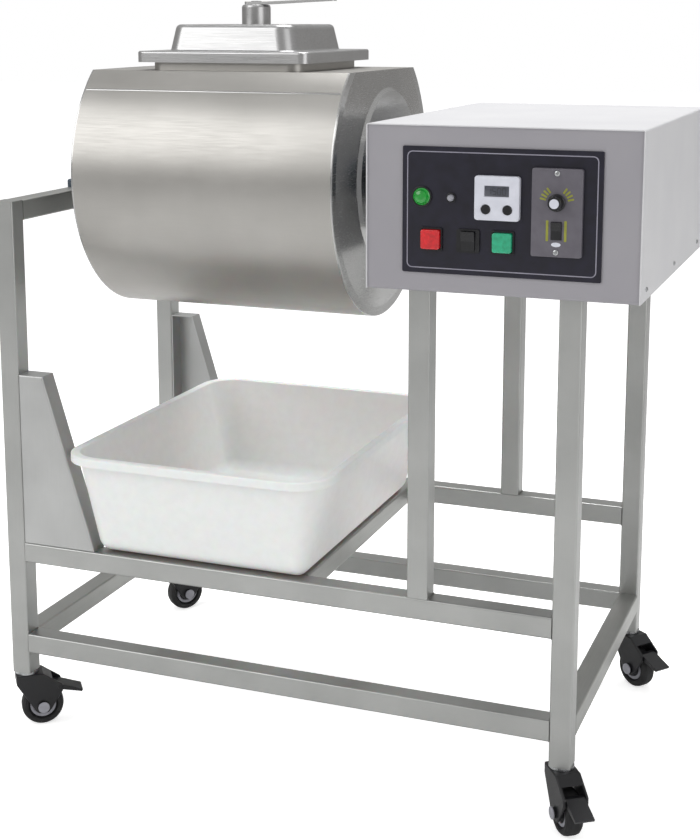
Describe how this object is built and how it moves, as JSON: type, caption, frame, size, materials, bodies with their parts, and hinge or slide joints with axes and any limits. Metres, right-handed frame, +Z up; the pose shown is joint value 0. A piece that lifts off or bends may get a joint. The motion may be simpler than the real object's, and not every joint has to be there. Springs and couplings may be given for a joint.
{
  "type": "meat_tumbler",
  "caption": "Meat tumbler: a steel drum with a clamped hatch lid, turned by a gear motor in a control box on a castered square-tube stand, with a tub below.",
  "frame": {"origin": "on the floor, under the middle of the whole machine's bounding box", "axes": "+X from the drum to the control box, +Y from the control panel to the back, +Z up"},
  "size_m": [0.9428, 0.6308, 1.0948],
  "materials": {
    "stainless_tube": "satin",
    "drum_sheet": "satin",
    "head_sheet": "satin",
    "lid_steel": "polished",
    "box_paint": "semi-gloss",
    "panel_film": "matte",
    "black_plastic": "semi-gloss",
    "white_plastic": "gloss",
    "grey_plastic": "matte",
    "green_lens": "gloss",
    "stop_red": "gloss",
    "start_green": "gloss",
    "gasket_rubber": "matte",
    "shaft_steel": "satin",
    "bearing_iron": "painted",
    "bolt_zinc": "bright",
    "motor_paint": "semi-gloss",
    "tub_plastic": "matte",
    "caster_steel": "satin",
    "caster_rubber": "matte"
  },
  "bodies": {
    "stand": {"front_left_post": "stainless_tube", "rear_left_post": "stainless_tube", "front_middle_post": "stainless_tube", "rear_middle_post": "stainless_tube", "front_right_post": "stainless_tube", "rear_right_post": "stainless_tube", "upper_rails": "stainless_tube", "lower_rails": "stainless_tube", "crossrails": "stainless_tube", "bearing_crossrail": "stainless_tube", "front_gusset": "stainless_tube", "rear_gusset": "stainless_tube", "caster_stems": "bolt_zinc", "box_cover": "box_paint", "box_chassis": "box_paint", "control_panel": "panel_film", "panel_lamps": "green_lens", "switch_bezels": "black_plastic", "timer_case": "white_plastic", "controller_plate": "grey_plastic", "cable_gland": "black_plastic", "bearing_left": "bearing_iron", "bearing_right": "bearing_iron", "bearing_bolts": "bolt_zinc", "gearbox": "motor_paint", "motor": "motor_paint"},
    "drum": {"drum_shell": "drum_sheet", "drum_head_left": "head_sheet", "drum_head_right": "head_sheet", "hatch_neck": "drum_sheet", "hatch_gasket": "gasket_rubber", "drum_baffles": "drum_sheet", "shaft_left": "shaft_steel", "shaft_right": "shaft_steel", "shaft_bolts": "bolt_zinc"},
    "hatch_lid": {"lid": "lid_steel", "lid_hub": "lid_steel"},
    "lid_lock": {"lid_lever": "lid_steel", "locking_bar": "lid_steel"},
    "tub_body": {"tub": "tub_plastic"},
    "stop": {"stop_button": "stop_red"},
    "start": {"start_button": "start_green"},
    "power": {"power_rocker": "black_plastic"},
    "run": {"run_rocker": "black_plastic"},
    "speed": {"speed_knob": "white_plastic"},
    "key_left": {"timer_key_left": "black_plastic"},
    "key_right": {"timer_key_right": "black_plastic"},
    "swivel_front_left": {"caster_fork_front_left": "caster_steel"},
    "wheel_front_left": {"caster_wheel_front_left": "caster_rubber"},
    "pedal_front_left": {"brake_pedal_front_left": "caster_steel"},
    "swivel_front_right": {"caster_fork_front_right": "caster_steel"},
    "wheel_front_right": {"caster_wheel_front_right": "caster_rubber"},
    "pedal_front_right": {"brake_pedal_front_right": "caster_steel"},
    "swivel_rear_right": {"caster_fork_rear_right": "caster_steel"},
    "wheel_rear_right": {"caster_wheel_rear_right": "caster_rubber"},
    "pedal_rear_right": {"brake_pedal_rear_right": "caster_steel"},
    "swivel_rear_left": {"caster_fork_rear_left": "caster_steel"},
    "wheel_rear_left": {"caster_wheel_rear_left": "caster_rubber"},
    "pedal_rear_left": {"brake_pedal_rear_left": "caster_steel"}
  },
  "joints": [
    {"name": "drum_turn", "type": "hinge", "parent": "stand", "child": "drum", "pos_m": [-0.1635, -0.004, 0.837], "axis": [1, 0, 0], "continuous": true},
    {"name": "lid_lift", "type": "slide", "parent": "drum", "child": "hatch_lid", "axis": [0, 0, 1], "range_m": [0, 0.12]},
    {"name": "lever_turn", "type": "hinge", "parent": "hatch_lid", "child": "lid_lock", "pos_m": [-0.1635, -0.004, 1.087], "axis": [0, 0, 1], "range_deg": [0, 90]},
    {"name": "tub_slide", "type": "slide", "parent": "stand", "child": "tub_body", "axis": [0, -1, 0], "range_m": [0, 0.45]},
    {"name": "stop_press", "type": "slide", "parent": "stand", "child": "stop", "axis": [0, 1, 0], "range_m": [0, 0.004], "stiffness_N_per_m": 600},
    {"name": "start_press", "type": "slide", "parent": "stand", "child": "start", "axis": [0, 1, 0], "range_m": [0, 0.004], "stiffness_N_per_m": 600},
    {"name": "power_rock", "type": "hinge", "parent": "stand", "child": "power", "pos_m": [0.25, -0.2785, 0.789], "axis": [-1, 0, 0], "range_deg": [0, 16]},
    {"name": "run_rock", "type": "hinge", "parent": "stand", "child": "run", "pos_m": [0.364, -0.2818, 0.808], "axis": [-1, 0, 0], "range_deg": [0, 16]},
    {"name": "speed_turn", "type": "hinge", "parent": "stand", "child": "speed", "pos_m": [0.364, -0.289, 0.843], "axis": [0, 1, 0], "range_deg": [0, 270]},
    {"name": "key_left_press", "type": "slide", "parent": "stand", "child": "key_left", "axis": [0, 1, 0], "range_m": [0, 0.001], "stiffness_N_per_m": 400},
    {"name": "key_right_press", "type": "slide", "parent": "stand", "child": "key_right", "axis": [0, 1, 0], "range_m": [0, 0.001], "stiffness_N_per_m": 400},
    {"name": "swivel_front_left_turn", "type": "hinge", "parent": "stand", "child": "swivel_front_left", "pos_m": [-0.45, -0.245, 0.08], "axis": [0, 0, 1], "continuous": true},
    {"name": "wheel_front_left_roll", "type": "hinge", "parent": "swivel_front_left", "child": "wheel_front_left", "pos_m": [-0.43266, -0.23145, 0.0315], "axis": [-0.6157, 0.788, 0], "continuous": true},
    {"name": "pedal_front_left_press", "type": "hinge", "parent": "swivel_front_left", "child": "pedal_front_left", "pos_m": [-0.41296, -0.21606, 0.0585], "axis": [-0.6157, 0.788, 0], "range_deg": [0, 12]},
    {"name": "swivel_front_right_turn", "type": "hinge", "parent": "stand", "child": "swivel_front_right", "pos_m": [0.38, -0.245, 0.08], "axis": [0, 0, 1], "continuous": true},
    {"name": "wheel_front_right_roll", "type": "hinge", "parent": "swivel_front_right", "child": "wheel_front_right", "pos_m": [0.39262, -0.26302, 0.0315], "axis": [0.8192, 0.5736, 0], "continuous": true},
    {"name": "pedal_front_right_press", "type": "hinge", "parent": "swivel_front_right", "child": "pedal_front_right", "pos_m": [0.40696, -0.2835, 0.0585], "axis": [0.8192, 0.5736, 0], "range_deg": [0, 12]},
    {"name": "swivel_rear_right_turn", "type": "hinge", "parent": "stand", "child": "swivel_rear_right", "pos_m": [0.38, 0.237, 0.08], "axis": [0, 0, 1], "continuous": true},
    {"name": "wheel_rear_right_roll", "type": "hinge", "parent": "swivel_rear_right", "child": "wheel_rear_right", "pos_m": [0.39734, 0.22345, 0.0315], "axis": [0.6157, 0.788, 0], "continuous": true},
    {"name": "pedal_rear_right_press", "type": "hinge", "parent": "swivel_rear_right", "child": "pedal_rear_right", "pos_m": [0.41704, 0.20806, 0.0585], "axis": [0.6157, 0.788, 0], "range_deg": [0, 12]},
    {"name": "swivel_rear_left_turn", "type": "hinge", "parent": "stand", "child": "swivel_rear_left", "pos_m": [-0.45, 0.237, 0.08], "axis": [0, 0, 1], "continuous": true},
    {"name": "wheel_rear_left_roll", "type": "hinge", "parent": "swivel_rear_left", "child": "wheel_rear_left", "pos_m": [-0.43645, 0.25434, 0.0315], "axis": [-0.788, 0.6157, 0], "continuous": true},
    {"name": "pedal_rear_left_press", "type": "hinge", "parent": "swivel_rear_left", "child": "pedal_rear_left", "pos_m": [-0.42106, 0.27404, 0.0585], "axis": [-0.788, 0.6157, 0], "range_deg": [0, 12]}
  ]
}
